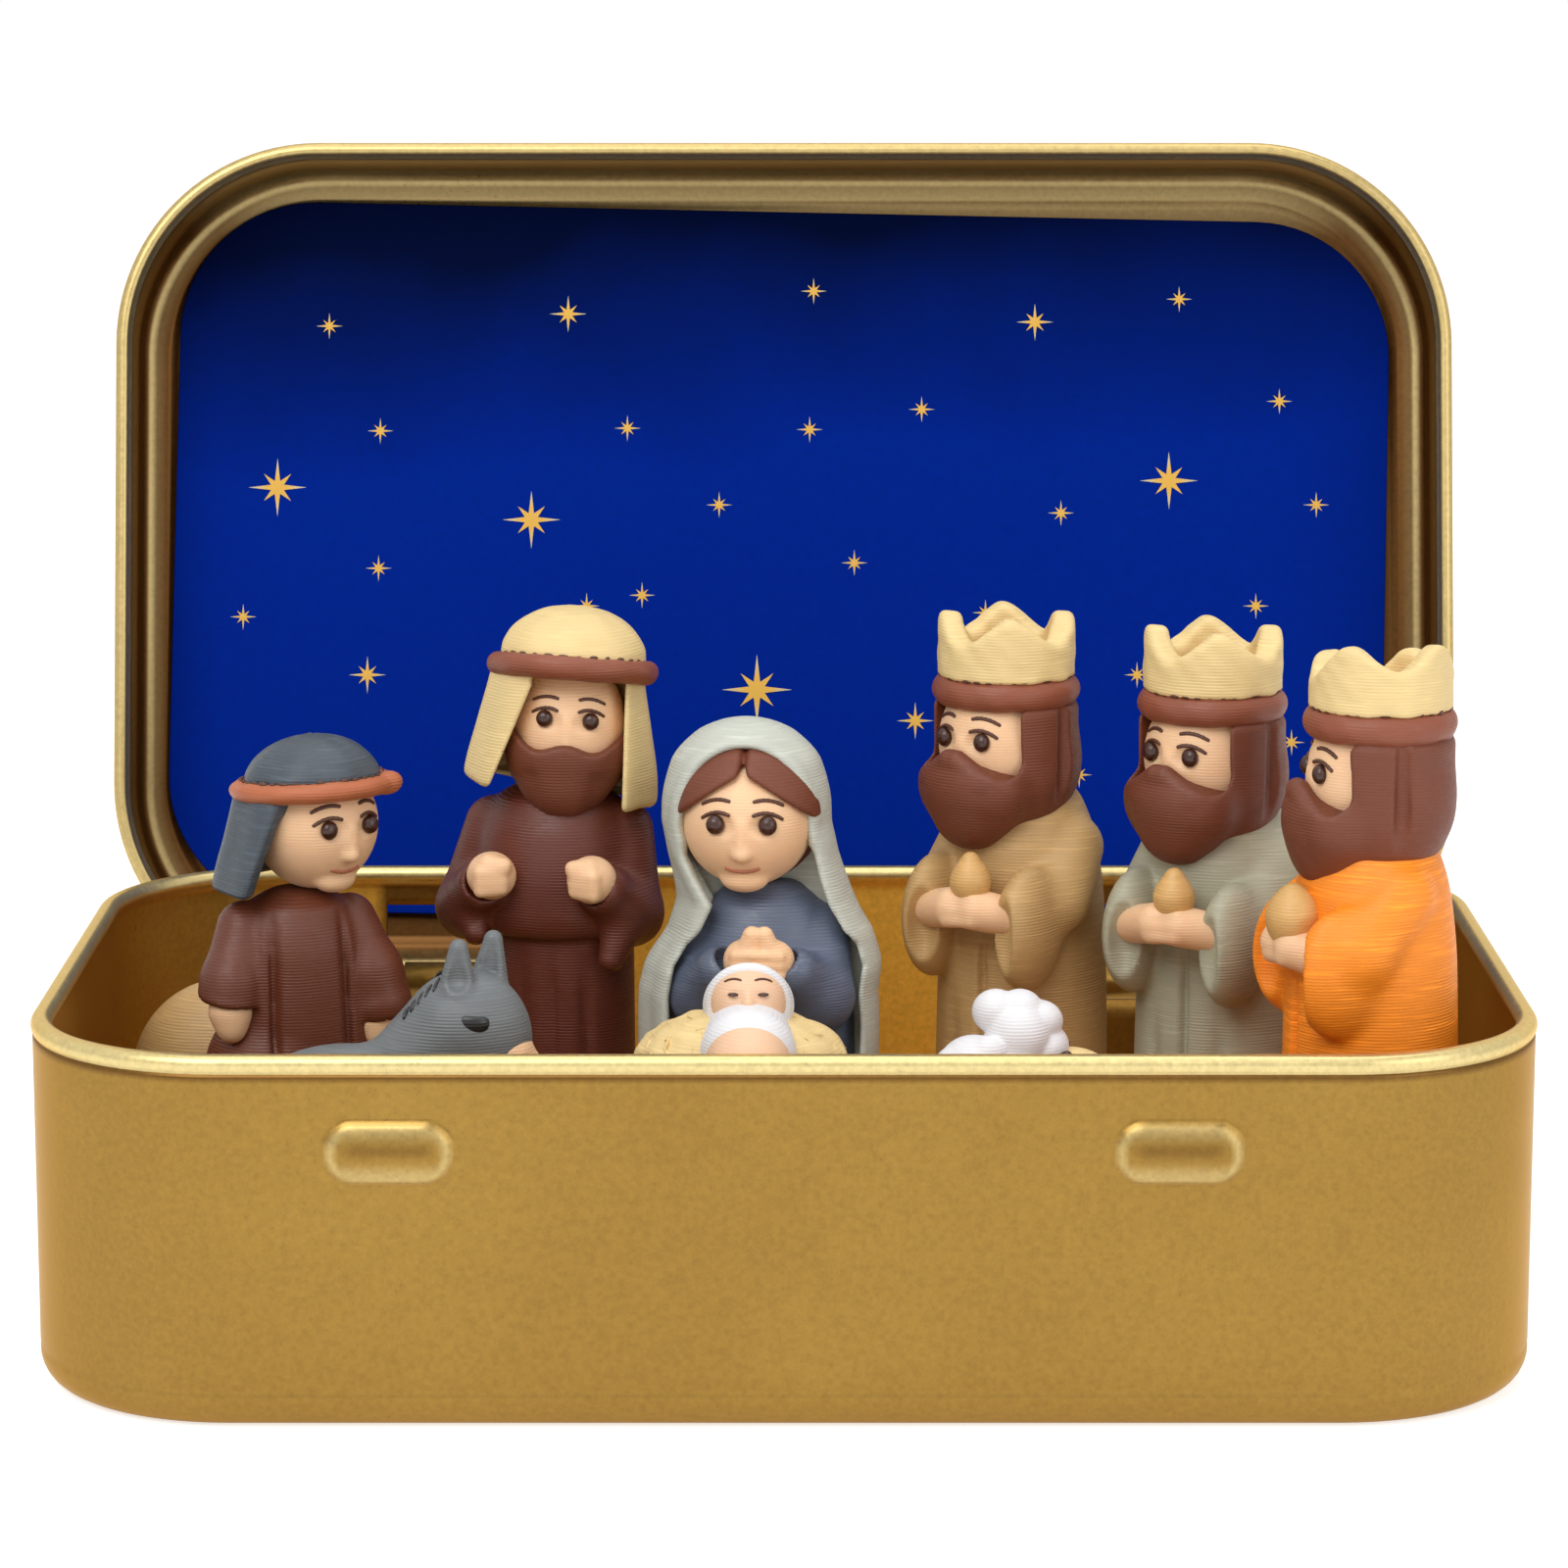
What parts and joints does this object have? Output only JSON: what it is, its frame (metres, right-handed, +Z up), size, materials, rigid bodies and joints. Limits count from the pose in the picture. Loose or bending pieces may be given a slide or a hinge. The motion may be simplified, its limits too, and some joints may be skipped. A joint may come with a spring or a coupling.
{
  "type": "pocket nativity tin",
  "caption": "Hinged gold tin standing open, a star card inside its lid and small printed nativity figures standing on the floor of its base.",
  "frame": {"origin": "middle of the flat underside of the tin's base", "axes": "+X along the tin's long side to the viewer's right, +Y from the front to the hinge, +Z up"},
  "size_m": [0.097, 0.0824, 0.0739],
  "materials": {
    "tin_gold": "satin gold lacquer on pressed tinplate",
    "card_blue": "smooth printed card, blue with gold stars",
    "skin": "matte printed filament with fine layer lines",
    "brown": "matte printed filament with fine layer lines",
    "dark_brown": "matte printed filament with fine layer lines",
    "band_brown": "matte printed filament with fine layer lines",
    "terracotta": "matte printed filament with fine layer lines",
    "cream": "matte printed filament with fine layer lines",
    "slate": "matte printed filament, streaky",
    "sage_white": "matte printed filament with fine layer lines",
    "dress_blue": "slightly glossy printed filament",
    "tan": "matte printed filament with fine layer lines",
    "sage": "matte printed filament with fine layer lines",
    "orange": "matte printed filament with fine layer lines",
    "grey": "matte printed filament with fine layer lines",
    "white": "matte printed filament with fine layer lines"
  },
  "bodies": {
    "base": {"base_pan": "tin_gold"},
    "lid": {"lid_pan": "tin_gold", "star_card": "card_blue"},
    "shepherd": {"shepherd_band": "terracotta", "shepherd_cap": "slate", "shepherd_face": "skin", "shepherd_hand_left": "skin", "shepherd_hand_right": "skin", "shepherd_headcloth": "slate", "shepherd_robe": "brown"},
    "father": {"father_band": "band_brown", "father_beard": "brown", "father_cap": "cream", "father_face": "skin", "father_hand_left": "skin", "father_hand_right": "skin", "father_headcloth": "cream", "father_robe": "dark_brown"},
    "mother": {"mother_dress": "dress_blue", "mother_face": "skin", "mother_hair": "brown", "mother_hands": "skin", "mother_veil": "sage_white"},
    "king_tan": {"king_tan_band": "band_brown", "king_tan_beard": "brown", "king_tan_crown": "cream", "king_tan_face": "skin", "king_tan_gift": "cream", "king_tan_hands": "skin", "king_tan_robe": "tan"},
    "king_sage": {"king_sage_band": "band_brown", "king_sage_beard": "brown", "king_sage_crown": "cream", "king_sage_face": "skin", "king_sage_gift": "cream", "king_sage_hands": "skin", "king_sage_robe": "sage"},
    "king_orange": {"king_orange_band": "band_brown", "king_orange_beard": "brown", "king_orange_crown": "cream", "king_orange_face": "skin", "king_orange_gift": "cream", "king_orange_hands": "skin", "king_orange_robe": "orange"},
    "manger": {"infant_blanket": "skin", "infant_face": "skin", "infant_wrap": "white", "manger_crib": "tan", "manger_hay": "cream"},
    "donkey": {"donkey_body": "grey", "donkey_muzzle": "skin"},
    "sheep": {"sheep_fleece": "white", "sheep_muzzle": "cream"},
    "ox": {"ox_body": "tan", "ox_muzzle": "skin"}
  },
  "joints": [
    {"name": "lid_hinge", "type": "hinge", "parent": "base", "child": "lid", "pos_m": [0, 0.0303, 0.0148], "axis": [1, 0, 0], "range_deg": [0, 103]},
    {"name": "shepherd_lift", "type": "slide", "parent": "base", "child": "shepherd", "axis": [0, 0, 1], "range_m": [0, 0.27]},
    {"name": "father_lift", "type": "slide", "parent": "base", "child": "father", "axis": [0, 0, 1], "range_m": [0, 0.27]},
    {"name": "mother_lift", "type": "slide", "parent": "base", "child": "mother", "axis": [0, 0, 1], "range_m": [0, 0.27]},
    {"name": "king_tan_lift", "type": "slide", "parent": "base", "child": "king_tan", "axis": [0, 0, 1], "range_m": [0, 0.27]},
    {"name": "king_sage_lift", "type": "slide", "parent": "base", "child": "king_sage", "axis": [0, 0, 1], "range_m": [0, 0.27]},
    {"name": "king_orange_lift", "type": "slide", "parent": "base", "child": "king_orange", "axis": [0, 0, 1], "range_m": [0, 0.27]},
    {"name": "manger_lift", "type": "slide", "parent": "base", "child": "manger", "axis": [0, 0, 1], "range_m": [0, 0.27]},
    {"name": "donkey_lift", "type": "slide", "parent": "base", "child": "donkey", "axis": [0, 0, 1], "range_m": [0, 0.27]},
    {"name": "sheep_lift", "type": "slide", "parent": "base", "child": "sheep", "axis": [0, 0, 1], "range_m": [0, 0.27]},
    {"name": "ox_lift", "type": "slide", "parent": "base", "child": "ox", "axis": [0, 0, 1], "range_m": [0, 0.27]}
  ],
  "couplings": [
    {"joint": "shepherd_lift", "follows": "lid_hinge", "m_per_rad": 0.15},
    {"joint": "father_lift", "follows": "lid_hinge", "m_per_rad": 0.15},
    {"joint": "mother_lift", "follows": "lid_hinge", "m_per_rad": 0.15},
    {"joint": "king_tan_lift", "follows": "lid_hinge", "m_per_rad": 0.15},
    {"joint": "king_sage_lift", "follows": "lid_hinge", "m_per_rad": 0.15},
    {"joint": "king_orange_lift", "follows": "lid_hinge", "m_per_rad": 0.15},
    {"joint": "manger_lift", "follows": "lid_hinge", "m_per_rad": 0.15},
    {"joint": "donkey_lift", "follows": "lid_hinge", "m_per_rad": 0.15},
    {"joint": "sheep_lift", "follows": "lid_hinge", "m_per_rad": 0.15},
    {"joint": "ox_lift", "follows": "lid_hinge", "m_per_rad": 0.15}
  ]
}
